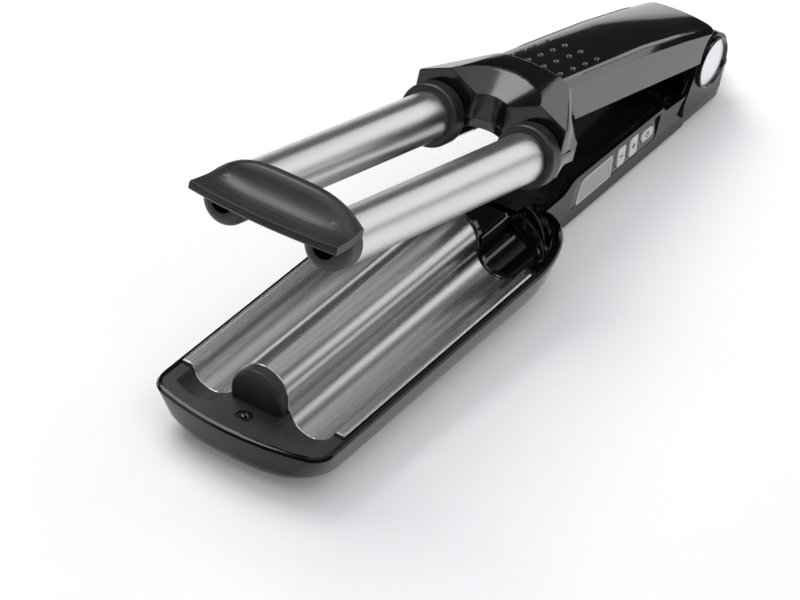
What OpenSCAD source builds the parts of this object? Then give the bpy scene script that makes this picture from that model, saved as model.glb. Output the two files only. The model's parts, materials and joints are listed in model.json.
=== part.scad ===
// Hair waver: a two-barrel jaw that closes on a heated wave plate.
// +X runs from the hinge to the tip, +Y to the button side, +Z up.
// The origin lies on the table, straight below the hinge axis.
// The upper arm is drawn closed and then swung up by open_angle.

/* [Wave plate] */
// Distance from the hinge axis to the rear end of the wave plate
plate_rear = 163.5; // [155:0.5:175]
// Length of the wave plate
plate_len = 124; // [100:1:130]
// Width of the wave plate across its lips
plate_w = 69.6; // [68:0.2:76]
// Sheet thickness of the wave plate
plate_t = 1.2; // [0.8:0.1:1.6]
// Height of the plate's flat lips above the table
lip_z = 21; // [20:0.5:22]

/* [Barrels] */
// Outer diameter of each barrel
barrel_d = 19; // [18:0.5:20]
// Distance between the two barrel axes
barrel_pitch = 42; // [41:0.5:44]
// Height of the barrel axes above the table when the jaw is shut
barrel_z = 24; // [23.5:0.5:25]
// Wall of the barrel tubes
barrel_t = 1.2; // [0.8:0.1:1.6]
// Gap for the hair between barrel and plate when the jaw is shut
hair_gap = 0.8; // [0.6:0.1:1.2]

/* [Jaw hinge] */
// Height of the hinge axis above the table
hinge_z = 25.9; // [25:0.1:27]
// Angle that the spring holds the jaw open at rest
open_angle = 14.2; // [10:0.1:18]
// Diameter of the hinge pin
pin_d = 5; // [4:0.1:6]
// Diameter of the round hinge ears
ear_d = 25.2; // [24:0.2:27]
// Diameter of the silver hinge caps
cap_d = 20.4; // [18:0.2:22]
// Thickness of each hinge ear
ear_t = 3.6; // [3.5:0.1:5]

/* [Lower arm] */
// Wall of the moulded shells
wall = 2; // [1.6:0.1:2.4]
// Depth of the rim below the plate lips
rim_drop = 0.5; // [0.2:0.1:1]
// Length of the tip beyond the wave plate
tip_len = 22.5; // [21:0.5:26]
// How far the front edge bows forward at mid-width
tip_bow = 6.5; // [4:0.5:8]
// Corner radius of the tip seen from above
tip_corner_r = 9; // [8:0.5:12]
// Length of the rounded shoulder from housing to handle
shoulder_len = 39; // [34:1:42]
// Angle by which the housing walls lean inward on their way down
housing_lean = 14; // [10:0.5:18]
// Radius of the housing's boat-like bottom edge
bilge_r = 14; // [11:0.5:15]
// Rounding of the rim's outer edge
rim_round = 1.5; // [0.8:0.1:1.6]
// Width of the lower handle at the rim
handle_w = 34; // [33:0.5:38]
// Inward lean of the handle walls from rim to table
handle_lean = 2.3; // [1.5:0.1:3]
// Length of the handle behind the hinge axis
tail_len = 24; // [22:0.5:30]

/* [Upper arm] */
// Width of the upper handle at its lower edge
grip_w = 36.4; // [35:0.2:38]
// Width of the upper handle at its top edge
grip_top_w = 32.8; // [31:0.2:34]
// Height of the upper handle's lower edge above the table, shut
grip_z = 28.5; // [27.5:0.1:29]
// Height of the top edge at the yoke, shut
grip_front_z = 42.6; // [41:0.2:45]
// Height of the top edge at the hinge, shut
grip_rear_z = 38.4; // [36:0.2:39]
// Size of the bevel along the top edges
grip_bevel = 1.5; // [1:0.1:2]
// Rise of the crowned top over its edges
grip_crown = 2.1; // [0.5:0.1:2.5]

/* [Yoke and rings] */
// Outer diameter of the collar rings
ring_d = 24.6; // [23:0.2:26]
// Length of the collar rings
ring_len = 6.5; // [5:0.5:8]
// Length of the yoke from handle to rings
yoke_len = 27; // [24:0.5:30]
// Width of the yoke over its flat sides
yoke_w = 64; // [63:0.5:66]
// Height of the yoke's outer corners, shut
yoke_corner_z = 37.6; // [36:0.2:39]
// Height of the joint between the yoke and its cover, shut
parting_z = 27.4; // [26.5:0.1:28]
// Radius of the U-shaped wall between the barrel roots
throat_r = 10; // [9:0.5:11]
// Half width of the yoke's top band where the scoop ends it
scoop_r = 20.6; // [19:0.2:22]

/* [Tip bridge] */
// Length of the barrel noses
nose_len = 10; // [9:0.5:12]
// Rounding of the noses
nose_round = 4; // [3:0.2:4.4]
// How far the barrels pass the plate's front end
nose_reach = 1; // [0:0.5:2]
// Height of the bridge's flat underside above the table, shut
bridge_z = 26.7; // [26:0.1:28]
// Thickness of the bridge's front lip
bridge_lip_t = 3.3; // [2.4:0.1:4]
// Height of the bridge's crest above the table, shut
bridge_crest_z = 40.2; // [38:0.2:42]
// How far the bridge's lip bows forward at mid-width
bridge_bow = 2.8; // [2:0.2:5]

/* [Control panel] */
// Distance from the panel's front end to the front of the handle
panel_setback = 20; // [14:0.5:24]
// Length of the recessed panel
panel_len = 65; // [62:0.5:68]
// Height of the recessed panel
panel_h = 12.4; // [11.6:0.2:13]
// Height of the panel's middle above the table
panel_z = 14.7; // [14.4:0.1:15]
// Height of the display window
display_h = 9.6; // [8:0.1:10]
// Gap between the display window and the minus key
display_gap = 3.8; // [3:0.1:6]
// Length and height of the minus and plus buttons
key_size = [6, 9]; // [5:0.1:10]
// Length and height of the power button
power_size = [9.4, 5.2]; // [4:0.1:11]
// Travel of the buttons
key_travel = 0.7; // [0.4:0.1:0.8]

/* [Cord inlet] */
// Diameter of the swivel gland's journal
gland_d = 11; // [10:0.2:12]
// Diameter of the cord hole through the gland
cord_hole_d = 6.6; // [5:0.2:7.5]
// Height of the gland axis above the table
gland_z = 9; // [8.6:0.1:9.4]

/* [Fits] */
// Clearance of seated pieces
seat_gap = 0.2; // [0.1:0.05:0.3]
// Radial clearance of turning pins
run_gap = 0.06; // [0.02:0.01:0.1]
// Clearance between pieces that swing past each other
swing_gap = 0.8; // [0.6:0.1:1.2]

/* [Hidden] */
$fn = 64;
eps = 0.01;
slab = 0.02;
far = 400;

// Cross-section of the jaw
barrel_r = barrel_d / 2;
barrel_y = barrel_pitch / 2;
trough_r = barrel_r + hair_gap;
ridge_r = barrel_y - trough_r;
plate_front = plate_rear + plate_len;
plate_skirt = 3;
rim_z = lip_z - rim_drop;
fuse_r = 2.6;
fuse_len = 12;
rail_w = 3.2;
rail_y = ridge_r + 0.5 + rail_w / 2;

// Lower arm
floor_t = wall;
head_r = 2.7;
head_h = 1.3;
deck_head_r = 2.3;
deck_head_h = 1.5;
screw_len = 8;
heater_margin = 7;
heater_leg = 8;
bottom_r = 2.2;
edge_z = rim_z - rim_round;
lean_share = tan(housing_lean);
bilge_inset = (edge_z - bilge_r) * lean_share + bilge_r / cos(housing_lean);
housing_half = plate_w / 2 + seat_gap + wall;
handle_half = handle_w / 2;
tip_x = plate_front + tip_len;
bow_r = (housing_half * housing_half + tip_bow * tip_bow) / (2 * tip_bow);
shoulder_front = plate_rear - 1.5;
handle_front = shoulder_front - shoulder_len;
tail_corner_r = 11;

// The handle's rim climbs over the control panel and dips at the hinge
panel_front = handle_front - panel_setback;
panel_rear = panel_front - panel_len;
step_front = 4.6;
step_len = 9;
panel_rim_front = rim_z + 4.2;
panel_rim_rear = rim_z + 2.4;
hinge_rim_front = rim_z - 0.6;
hinge_rim_rear = rim_z - 3;
deck_drop = 2.2;
deck_t = 1.6;
deck_half = handle_half - 2 - 1.8 - seat_gap;
deck_rear = ear_d / 2 + 1.5;

// Hinge
ear_r = ear_d / 2;
pin_r = pin_d / 2;
ear_out = handle_half;
ear_in = ear_out - ear_t;
knuckle_r = ear_r - swing_gap;
knuckle_half = ear_in - 0.3;
cap_r = cap_d / 2;
cap_seat = 1.2;
cap_t = 2.4;
spring_half = 6.2;
spring_wire = 1.4;
spring_r = pin_r + 1.6;
spring_leg_len = 24;
spring_slot = spring_half + 0.2;

// Upper arm
grip_half = grip_w / 2;
grip_top_half = grip_top_w / 2;
ring_front = plate_rear - 3.2;
ring_rear = ring_front - ring_len;
yoke_front = ring_rear - seat_gap;
grip_front = yoke_front - yoke_len;
grip_start = ear_r + swing_gap;
liner_z = grip_z - 3.5;
liner_half = grip_half - 3.8;
throat_x = ring_front;
barrel_root = yoke_front - 11;
barrel_front = plate_front + nose_reach;
nose_front = barrel_front + nose_len;
spigot_r = barrel_r - barrel_t - seat_gap;
spigot_len = 6;
core_rear = ring_front + 4;
core_front = barrel_front - 14;
screw_hole_r = 1.6;
nose_bore_r = barrel_r - nose_round - 1.1;
nose_bore_len = 8;
bridge_head_r = 3.2;
bridge_half = barrel_y + barrel_r;

// Control panel
panel_y = handle_half - 2;
panel_pad = 1.8;
pad_y = panel_y - panel_pad;
bezel_t = 0.5;
window_t = 1.6;
key_proud = 1.1;
key_flange = 0.8;
key_back = 0.3;
board_y = panel_y - 5.2;
board_t = 1.4;
key_gap = 2.9;
display_margin = 4.8;
power_x = panel_rear + 3.3 + power_size[0] / 2;
plus_x = power_x + power_size[0] / 2 + key_gap + key_size[0] / 2;
minus_x = plus_x + key_size[0] + key_gap + 0.5;
display_front = panel_front - display_margin;
display_rear = minus_x + key_size[0] / 2 + display_gap;
display_z = panel_z - 1.2;
display_slant = 3;
key_r = 1.4;

gland_r = gland_d / 2;
gland_boss_r = gland_r + 2;
gland_boss_len = 8;
gland_flange = 1.4;
gland_flange_r = gland_r + 1.1;
gland_out = 9;

// ---------------------------------------------------------------- helpers

// Swings closed-jaw geometry up to the rest pose
module on_jaw() {
  translate([0, 0, hinge_z]) rotate([0, -open_angle, 0]) translate([0, 0, -hinge_z]) children();
}

// A rod along X from x0 to x1
module rod_x(r, x0, x1, y, z) {
  translate([x0, y, z]) rotate([0, 90, 0]) cylinder(r = r, h = x1 - x0);
}

// A rod along Y from y0 to y1
module rod_y(r, y0, y1, x, z) {
  translate([x, y0, z]) rotate([-90, 0, 0]) cylinder(r = r, h = y1 - y0);
}

// A YZ outline pulled along X from x0 to x1
module pull_x(x0, x1) {
  translate([x0, 0, 0]) rotate([90, 0, 90]) linear_extrude(x1 - x0) children();
}

// An XZ outline pulled along Y from y0 to y1
module pull_y(y0, y1) {
  translate([0, y1, 0]) rotate([90, 0, 0]) linear_extrude(y1 - y0) children();
}

// A box given by two corners
module block(a, b) {
  translate(a) cube(b - a);
}

// Points of an arc, end points included
function arc(cx, cy, rx, ry, a0, a1, n) =
  [for (i = [0:n]) let (a = a0 + (a1 - a0) * i / n) [cx + rx * cos(a), cy + ry * sin(a)]];

// Adds the mirrored half of an outline that is symmetric about the X axis
function both_sides(half) =
  concat(half, [for (i = [len(half) - 1:-1:0]) [half[i][0], -half[i][1]]]);

// A solid through rings with equal numbers of points, closed at both ends
module skin(rings) {
  n = len(rings[0]);
  m = len(rings);
  sides = [for (i = [0:m - 2]) for (j = [0:n - 1]) let (k = (j + 1) % n)
    [i * n + j, (i + 1) * n + j, (i + 1) * n + k, i * n + k]];
  ends = [[for (j = [0:n - 1]) j], [for (j = [n - 1:-1:0]) (m - 1) * n + j]];
  polyhedron([for (r = rings) for (p = r) p], concat(sides, ends), convexity = 6);
}

// A screw that points down, its head's top at z = 0
module pan_screw(head_r, head_h, shank_r, shank_len) {
  translate([0, 0, -head_h]) cylinder(r = head_r, h = head_h);
  translate([0, 0, -head_h - shank_len]) cylinder(r = shank_r, h = shank_len + eps);
}

// ------------------------------------------------------- lower arm outlines

// Inset of the housing's surface at height z, drawn in by d: a leaning wall that runs into the bilge
function wall_inset(z, d) =
  z > bilge_r - (bilge_r - d) * sin(housing_lean)
    ? (edge_z - z) * lean_share + d / cos(housing_lean) + (d == 0 && z > edge_z ? rim_inset(z) : 0)
    : bilge_inset - sqrt(max(0, pow(bilge_r - d, 2) - pow(bilge_r - z, 2)));
function rim_inset(z) = (z - edge_z) * lean_share + rim_round - sqrt(max(0, rim_round * rim_round - pow(z - edge_z, 2)));

// The tip's corners grow rounder with the inset of the surface
function corner_r(inset) = min(tip_corner_r + 2.3 * inset, 0.75 * (housing_half - inset));

// Half outline of the wide housing seen from above at a given inset, d of it being wall
function housing_side(inset, d) =
  let (corner = max(1, corner_r(inset - d) - d))
  let (corner_y = housing_half - inset - corner)
  let (bow_x = tip_x - bow_r)
  let (corner_x = bow_x + sqrt(pow(bow_r - inset - corner, 2) - corner_y * corner_y))
  let (lead = atan2(corner_y, corner_x - bow_x))
  concat(
    arc(shoulder_front, handle_half - 1 - inset, shoulder_len - inset, housing_half - handle_half + 1, 180, 90, 10),
    arc(corner_x, corner_y, corner, corner, 90, lead, 6),
    arc(bow_x, 0, bow_r - inset, bow_r - inset, lead * 0.75, 0, 3));

module housing_plan(inset, d) {
  polygon(both_sides(housing_side(inset, d)));
}

// Outline of the handle seen from above, drawn in by d
module handle_plan(d) {
  half = concat(
    arc(-tail_len + tail_corner_r, handle_half - tail_corner_r, tail_corner_r - d, tail_corner_r - d, 180, 90, 6),
    [[shoulder_front - 10, handle_half - d]]);
  polygon(both_sides(half));
}

function handle_inset(z) = handle_lean * (rim_z - z) / rim_z;

// Heights at which the housing's rounded form is sampled
function form_heights(d, z0, z1) = concat([z0],
  [for (a = [72:-18:housing_lean]) let (z = bilge_r - (bilge_r - d) * sin(a)) if (z > z0 + 0.4 && z < z1 - 0.4) z],
  [for (t = [0, 0.7]) let (z = edge_z + t * rim_round) if (d == 0 && z > z0 && z < z1) z]);

// Solid of the housing between the heights z0 and z1, drawn in by d
module housing_form(d, z0, z1) {
  hull() {
    for (z = form_heights(d, z0, z1))
      translate([0, 0, z]) linear_extrude(slab) housing_plan(wall_inset(z, d), d);
    translate([0, 0, z1 - slab]) linear_extrude(slab) housing_plan(wall_inset(z1, d), d);
  }
}

// Solid of the handle, drawn in by d
module handle_form(d, z0, z1) {
  hull() {
    translate([0, 0, z0]) linear_extrude(slab) handle_plan(d + handle_inset(z0) + bottom_r);
    translate([0, 0, z0 + bottom_r]) linear_extrude(slab) handle_plan(d + handle_inset(z0 + bottom_r));
    translate([0, 0, z1 - slab]) linear_extrude(slab) handle_plan(d + handle_inset(z1));
  }
}

// Height of the lower arm's rim along its length
function ease(t) = (1 - cos(180 * min(1, max(0, t)))) / 2;
function rim_line() = concat(
  [[far, rim_z], [handle_front - 4, rim_z]],
  [for (i = [0:6]) [panel_front + step_front + step_len * (1 - i / 6) - 4,
    rim_z + (panel_rim_front - rim_z) * ease(i / 6)]],
  [[panel_rear - 1, panel_rim_rear], [panel_rear - 4, hinge_rim_front],
   [ear_r - 4, hinge_rim_rear], [-far, hinge_rim_rear]]);

// Everything above the rim line, lowered by drop
module above_rim(drop, top) {
  line = rim_line();
  polygon(concat([for (p = line) [p[0], p[1] - drop]], [[-far, top], [far, top]]));
}

// ------------------------------------------------------- wave cross-section

// The solid region under the wave surface, drawn in by d, down to z0
module wave_region(d, z0) {
  half = plate_w / 2 - d;
  difference() {
    union() {
      translate([-half, z0]) square([2 * half, lip_z - d - z0]);
      translate([-(ridge_r - d), z0]) square([2 * (ridge_r - d), barrel_z - z0]);
      translate([0, barrel_z]) circle(r = ridge_r - d);
    }
    for (s = [-1, 1]) translate([s * barrel_y, barrel_z]) circle(r = trough_r + d);
  }
}

// ---------------------------------------------------------------- lower arm

// A rectangle with rounded corners, centred on (x, z), grown by gap
module rounded_pane(x, z, size, r, gap) {
  w = size[0] / 2;
  h = size[1] / 2;
  translate([x, z]) {
    square([2 * (w - r), 2 * (h + gap)], center = true);
    square([2 * (w + gap), 2 * (h - r)], center = true);
    for (sx = [-1, 1]) for (sz = [-1, 1]) translate([sx * (w - r), sz * (h - r)]) circle(r = r + gap);
  }
}

module panel_outline(gap) {
  rounded_pane(panel_front - panel_len / 2, panel_z, [panel_len, panel_h], 2, -gap);
}

module window_outline(x, size, r, gap) {
  rounded_pane(x, panel_z, size, r, gap);
}

// The display's pane with its slanted front end
module display_outline(gap) {
  x0 = display_rear - gap;
  x1 = display_front + gap;
  z0 = display_z - display_h / 2 - gap;
  z1 = display_z + display_h / 2 + gap;
  polygon([[x0, z0], [x1, z0], [x1 - display_slant * 0.35, z0 + 4], [x1 - display_slant, z1], [x0, z1]]);
}

module panel_windows(gap) {
  display_outline(gap);
  window_outline(minus_x, key_size, key_r, gap);
  window_outline(plus_x, key_size, key_r, gap);
  window_outline(power_x, power_size, power_size[1] / 2 - eps, gap);
}

module hinge_ear(side) {
  y0 = side > 0 ? ear_in : -ear_out;
  pull_y(y0, y0 + ear_t) {
    difference() {
      union() {
        translate([0, hinge_z]) circle(r = ear_r);
        polygon([[-ear_r + 1.2, hinge_rim_rear - 9], [-ear_r, hinge_z], [ear_r, hinge_z],
          [ear_r + 6, hinge_rim_rear - 3], [ear_r + 6, hinge_rim_rear - 9]]);
      }
      translate([0, hinge_z]) circle(r = pin_r + run_gap / 2);
    }
  }
}

// Screw bosses: under the deck, under the tip cap
deck_screw_pos = [[handle_front - 3.5, 10], [handle_front - 3.5, -10], [deck_rear + 8, 9.5], [deck_rear + 8, -9.5]];
boss_r = 3.2;
tip_screw_x = plate_front + 11;
cap_top = rim_z - 0.7;
cap_bottom = 8;
function deck_z(x) = x > panel_front ? rim_z - deck_drop
  : hinge_rim_rear + (hinge_rim_front - hinge_rim_rear) * (x - ear_r + 4) / (panel_rear - ear_r) - deck_drop;

module lower_shell() {
  color("#141416")
  difference() {
    union() {
      difference() {
        union() {
          housing_form(0, 0, rim_z);
          handle_form(0, 0, panel_rim_front);
        }
        housing_form(wall, floor_t, rim_z + 1);
        // cavity of the handle, with a roof left over the tail
        difference() {
          handle_form(wall, floor_t, panel_rim_front + 1);
          block([-far, -far, hinge_rim_rear - wall], [-ear_r + 2, far, far]);
        }
        pull_y(-far, far) above_rim(0, far);
      }
      // thick side walls that carry the deck and the control panel
      difference() {
        union() {
          for (y = [pad_y, -pad_y - panel_pad - 0.4])
            block([deck_rear, y, floor_t - eps], [handle_front, y + panel_pad + 0.4, far / 4]);
        }
        pull_y(-far, far) above_rim(deck_drop, far);
      }
      for (s = [-1, 1]) hinge_ear(s);
      // bosses for the deck screws and the tip screw
      for (p = deck_screw_pos)
        translate([p[0], p[1], floor_t - eps]) cylinder(r = boss_r, h = deck_z(p[0] - boss_r) - deck_t - floor_t);
      translate([tip_screw_x, 0, floor_t - eps]) cylinder(r = boss_r, h = cap_bottom - floor_t);
      // bearing for the swivel gland
      rod_x(gland_boss_r, -tail_len + 0.4, -tail_len + gland_boss_len, 0, gland_z);
    }
    // panel recess and windows
    pull_y(panel_y, panel_y + 6) panel_outline(0);
    pull_y(panel_y - 4, panel_y + 6) panel_windows(seat_gap);
    // seat of the wave plate's skirts
    block([plate_rear - seat_gap, -plate_w / 2 - seat_gap, lip_z - plate_skirt - seat_gap],
      [plate_front + seat_gap, plate_w / 2 + seat_gap, far]);
    // seats of the hinge caps
    for (s = [-1, 1]) rod_y(cap_r + seat_gap, s > 0 ? ear_out - cap_seat : -ear_out - 1,
      s > 0 ? ear_out + 1 : -ear_out + cap_seat, 0, hinge_z);
    // room for the knuckle under the roof
    rod_y(ear_r, -ear_in, ear_in, 0, hinge_z);
    // bore of the swivel gland
    rod_x(gland_r + run_gap, -tail_len - 1, -tail_len + gland_boss_len + 1, 0, gland_z);
    rod_x(gland_flange_r + 0.4, -tail_len + gland_boss_len, -ear_r + 4, 0, gland_z);
    // screw holes
    for (p = deck_screw_pos)
      translate([p[0], p[1], floor_t]) cylinder(r = screw_hole_r, h = far);
    translate([tip_screw_x, 0, floor_t]) cylinder(r = screw_hole_r, h = far);
  }
}

module handle_deck() {
  color("#101012")
  difference() {
    intersection() {
      pull_y(-deck_half, deck_half) difference() {
        above_rim(deck_drop + deck_t, far / 2);
        above_rim(deck_drop, far);
      }
      block([deck_rear, -far, 0], [handle_front + 0.6, far, far]);
    }
    for (p = deck_screw_pos) translate([p[0], p[1], 0]) cylinder(r = screw_hole_r + 0.2, h = far);
    // room for the keys' flanges
    block([panel_rear + 1, pad_y - key_back - key_flange - key_travel - 0.5, 0],
      [panel_front - 1, far, panel_z + key_size[1] / 2 + 1.2]);
  }
}

module deck_screws() {
  color("silver")
  for (p = deck_screw_pos) translate([p[0], p[1], deck_z(p[0] + deck_head_r) + deck_head_h])
    pan_screw(deck_head_r, deck_head_h, screw_hole_r - 0.05, screw_len);
}

tray_rear = handle_front + 1;
tray_front = plate_rear - seat_gap;
tray_top = rim_z - 0.8;
bowl_r = ring_d / 2 + 1.6;
bowl_inset = wall + 1.3;
bowl_floor_z = barrel_z - 10;
tray_z = 7.6;
divider_half = 5.5;
divider_rear = ring_rear - 19;
rib_t = 2;

// The two bowls that take the barrel roots, with walls that follow the shoulder, grown by d
module bowls(d) {
  front = tray_front - rib_t;
  intersection() {
    for (s = [-1, 1]) {
      rod_x(bowl_r + d, handle_front, front, s * barrel_y, barrel_z);
      y0 = s > 0 ? divider_half - d : -barrel_y;
      block([divider_rear - d, y0, bowl_floor_z - d], [front, y0 + barrel_y - divider_half + d, far / 4]);
    }
    housing_form(bowl_inset - d, tray_z - 1, rim_z + 8);
    block([handle_front, -far, 0], [far, far, far]);
  }
}

// Solid of the tray inside the housing's walls, drawn in by d
module tray_form(d, z0, z1) {
  intersection() {
    housing_form(wall + seat_gap + d, z0, z1);
    block([tray_rear + d, -far, z0], [tray_front - d, far, z1]);
  }
}

module pocket_tray() {
  skin_t = 1.7;
  color("#0c0c0e")
  difference() {
    union() {
      difference() {
        tray_form(0, tray_z, tray_top);
        bowls(0);
        // notch behind the divider
        block([divider_rear - 4, -divider_half - 2.6, bowl_floor_z + 2], [divider_rear, divider_half + 2.6, far]);
        block([tray_front - rib_t, -far, 0], [far, far, far]);
      }
      // wall that follows the wave plate's rear end
      intersection() {
        pull_x(tray_front - rib_t - eps, tray_front) wave_region(-0.4, tray_z);
        union() {
          housing_form(wall + seat_gap, tray_z, rim_z);
          block([0, -plate_w / 2, rim_z - eps], [far, plate_w / 2, far]);
        }
      }
    }
    // hollow underside
    difference() {
      tray_form(skin_t, tray_z - 1, tray_top - skin_t);
      bowls(skin_t);
      block([tray_front - rib_t - skin_t, -far, 0], [far, far, far]);
      block([divider_rear - 6, -divider_half - 4, bowl_floor_z], [divider_rear, divider_half + 4, far]);
    }
  }
}

function inner_half(z) = housing_half - wall_inset(z, wall) - 0.3;

// Inner outline of the housing's cross-section above the floor
module inner_section(z0) {
  half = [for (z = [z0, 4, 6, 9, 12, 15, rim_z, far]) [inner_half(min(z, rim_z)), z]];
  polygon(concat(half, [for (i = [len(half) - 1:-1:0]) [-half[i][0], half[i][1]]]));
}

module plate_carrier() {
  foot = floor_t + seat_gap;
  rib_t = 3;
  color("#d9d4c8")
  difference() {
    union() {
      for (x = [plate_rear + 1, plate_rear + (plate_len - rib_t) / 2, plate_front - 1 - rib_t])
        pull_x(x, x + rib_t) intersection() {
          wave_region(plate_t + seat_gap, foot + 3);
          inner_section(foot);
        }
      for (s = [-1, 1]) pull_x(plate_rear + 1, plate_front - 1) {
        translate([s * rail_y - rail_w / 2, foot]) square([rail_w, 10]);
      }
      for (x = [plate_rear + 2.5, plate_front - 2.5]) for (s = [-1, 1])
        translate([x, s * rail_y, foot]) cylinder(r = 2, h = 4);
    }
    // seat of the heater bar
    rod_x(ridge_r - plate_t, plate_rear + 4, plate_front - 4 - eps, 0, barrel_z);
    block([plate_rear + 4, -ridge_r + plate_t, 0], [plate_front - 4, ridge_r - plate_t, barrel_z]);
  }
}

module wave_plate() {
  color("#a9a6a3")
  difference() {
    pull_x(plate_rear, plate_front) difference() {
      wave_region(0, 0);
      wave_region(plate_t, -far);
      translate([-far, -far]) square([2 * far, far + barrel_z - trough_r - plate_t]);
      // no wall below the skirts
      for (s = [-1, 1]) translate([s * plate_w / 2 - plate_t, 0]) square([2 * plate_t, lip_z - plate_skirt]);
    }
  }
}

heater_len = plate_len - 2 * heater_margin;
heater_rear = plate_rear + heater_margin;

module ridge_heater() {
  r = ridge_r - plate_t - seat_gap;
  color("#c9ccd0")
  pull_x(heater_rear, heater_rear + heater_len) difference() {
    union() {
      translate([0, barrel_z]) circle(r = r);
      translate([-r, barrel_z - heater_leg]) square([2 * r, heater_leg]);
    }
    translate([-far, -far]) square([2 * far, far + barrel_z - heater_leg]);
    // slot for the ceramic element
    translate([-6.5, barrel_z - 5]) square([13, 2.6]);
  }
}

module heater_spring() {
  w = ridge_r;
  z0 = floor_t;
  z1 = barrel_z - heater_leg;
  mid = heater_rear + heater_len / 2;
  half = heater_len * 0.39;
  n = 24;
  wave = [for (i = [0:n]) [mid - half + 2 * half * i / n, z0 + 0.4 + (z1 - z0 - 1.2) * (1 - cos(360 * 2 * i / n)) / 2]];
  color("#b8bcc2")
  pull_y(-w / 2, w / 2)
    polygon(concat([for (p = wave) [p[0], p[1] + 0.6]], [for (i = [n:-1:0]) [wave[i][0], wave[i][1] - 0.2]]));
}

module thermal_fuse() {
  x = heater_rear + heater_len * 0.68;
  color("#d8d8dc")
  rod_x(fuse_r, x - fuse_len / 2, x + fuse_len / 2, barrel_y, barrel_z - trough_r - plate_t - fuse_r - seat_gap);
}

module tip_cap() {
  dome_len = 4.6;
  x0 = plate_front + seat_gap;
  color("#2b2b2e")
  difference() {
    union() {
      intersection() {
        housing_form(wall + seat_gap, cap_bottom, cap_top);
        block([x0, -far, 0], [far, far, far]);
      }
      // half dome that closes the plate's ridge
      intersection() {
        union() {
          rod_x(ridge_r, x0, x0 + dome_len - 1.2, 0, barrel_z);
          rod_x(ridge_r - 1.2, x0, x0 + dome_len, 0, barrel_z);
          block([x0, -ridge_r, cap_top - 1], [x0 + dome_len - 1.2, ridge_r, barrel_z]);
          translate([x0 + dome_len - 1.2, 0, barrel_z]) rotate([0, 90, 0])
            rotate_extrude() translate([ridge_r - 1.2, 0]) circle(r = 1.2);
          block([x0, -ridge_r + 1.2, cap_top - 1], [x0 + dome_len, ridge_r - 1.2, barrel_z]);
        }
        block([x0, -far, cap_top - 1], [far, far, far]);
      }
    }
    // recesses for the barrel noses
    scoop_len = nose_front - 1.6 - x0 + 1;
    for (s = [-1, 1]) translate([x0 - 1, s * barrel_y, barrel_z]) rotate([0, 90, 0]) {
      cylinder(r = trough_r, h = scoop_len);
      translate([0, 0, scoop_len - eps]) cylinder(r1 = trough_r, r2 = trough_r - 6, h = 3.3);
    }
    // hollow underside
    difference() {
      intersection() {
        housing_form(wall + seat_gap + 2, cap_bottom - 1, cap_top - 2);
        block([x0 + 2, -far, 0], [far, far, far]);
      }
      for (s = [-1, 1]) rod_x(trough_r + 2, x0 - 1, x0 + 13, s * barrel_y, barrel_z);
      translate([tip_screw_x, 0, 0]) cylinder(r = boss_r + 1.5, h = far);
    }
    // countersunk screw hole
    translate([tip_screw_x, 0, 0]) cylinder(r = screw_hole_r + 0.2, h = far);
    translate([tip_screw_x, 0, cap_top - 2]) cylinder(r = 3.2, h = 4);
  }
}

module tip_screw() {
  color("#3a3a3e")
  translate([tip_screw_x, 0, cap_top - 0.5]) pan_screw(2.9, 1.5, screw_hole_r - 0.05, 13);
}

// ----------------------------------------------------------- electronics

board_z0 = floor_t + 1.6;
board_z1 = rim_z - 2.8;
switch_depth = 1.3;

module control_board() {
  x0 = panel_rear + 1;
  x1 = panel_front + 1;
  back = board_y - board_t;
  step = (x1 - x0) / 10;
  color("#1d5c36") {
    block([x0, back, floor_t + seat_gap], [x1, board_y, board_z1]);
    block([x0 + step, back - 7, board_z0], [x0 + 3 * step, back + eps, board_z0 + 9]);
    rod_y(4.2, back - 10, back + eps, x0 + 4.6 * step, board_z0 + 5);
    block([x0 + 6.5 * step, back - 3, board_z0 + 1], [x0 + 8.3 * step, back + eps, board_z0 + 10]);
  }
}

module tact_switches() {
  color("#c8c8c8")
  for (x = [minus_x, plus_x, power_x]) {
    block([x - 3, board_y, panel_z - 3], [x + 3, board_y + switch_depth, panel_z + 3]);
    rod_y(1.5, board_y + switch_depth - eps, board_y + switch_depth + 0.3, x, panel_z);
  }
}

module display_module() {
  y1 = panel_y - panel_pad - seat_gap;
  color("#8f9a92")
  pull_y(board_y, y1) display_outline(-0.5);
}

module display_window() {
  color([0.75, 0.8, 0.76, 0.6])
  pull_y(panel_y - window_t, panel_y + 0.5) display_outline(0);
}

module control_bezel() {
  color("#4a4a50")
  pull_y(panel_y, panel_y + bezel_t) difference() {
    panel_outline(seat_gap);
    panel_windows(seat_gap);
  }
}

// A key cap with a flange that traps it behind the panel and a plunger
module key(x, size, r) {
  y_flange = pad_y - key_back;
  pull_y(y_flange - key_flange, panel_y + key_proud) window_outline(x, size, r, -0.1);
  pull_y(y_flange - key_flange, y_flange) window_outline(x, size, r, 0.8);
  rod_y(1.6, board_y + switch_depth + 0.3 + key_travel + 0.1, y_flange, x, panel_z);
}

module button_minus() {
  color("#dfe1e4") key(minus_x, key_size, key_r);
}

module button_plus() {
  color("#dfe1e4") key(plus_x, key_size, key_r);
}

module button_power() {
  color("#dfe1e4") key(power_x, power_size, power_size[1] / 2 - eps);
}

// ------------------------------------------------------------------- hinge

module hinge_pin() {
  color("#9a9ca0") rod_y(pin_r, -ear_out + cap_seat + 0.1, ear_out - cap_seat - 0.1, 0, hinge_z);
}

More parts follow.
